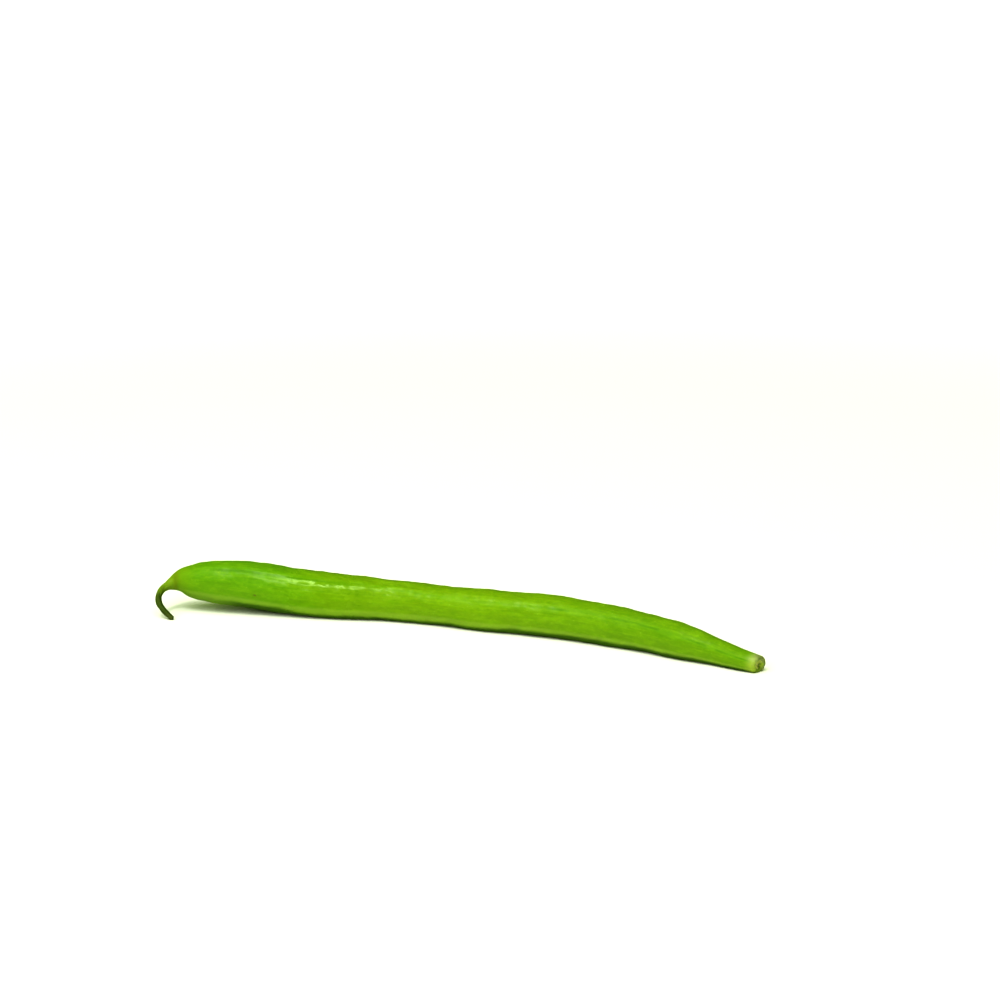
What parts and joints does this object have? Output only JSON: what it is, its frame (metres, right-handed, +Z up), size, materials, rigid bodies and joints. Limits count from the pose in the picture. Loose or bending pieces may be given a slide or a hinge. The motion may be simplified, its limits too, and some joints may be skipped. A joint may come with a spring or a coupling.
{
  "type": "green bean",
  "caption": "Whole fresh green bean pod, slim and gently bent, with a hooked beak and a broken stem scar, lying on its side to be scattered or piled.",
  "frame": {"origin": "middle of the bean's bounding box, at the surface that it rests on", "axes": "+X along the bean towards its stem scar, +Y towards the outer side of its bend, +Z up"},
  "size_m": [0.133, 0.0218, 0.011],
  "materials": {
    "pod_skin": "satin, waxy, fine lengthwise streaks",
    "beak": "dull, slightly wrinkled",
    "stem_scar": "dry, fibrous"
  },
  "bodies": {
    "root": {"pod": "pod_skin"}
  },
  "joints": []
}
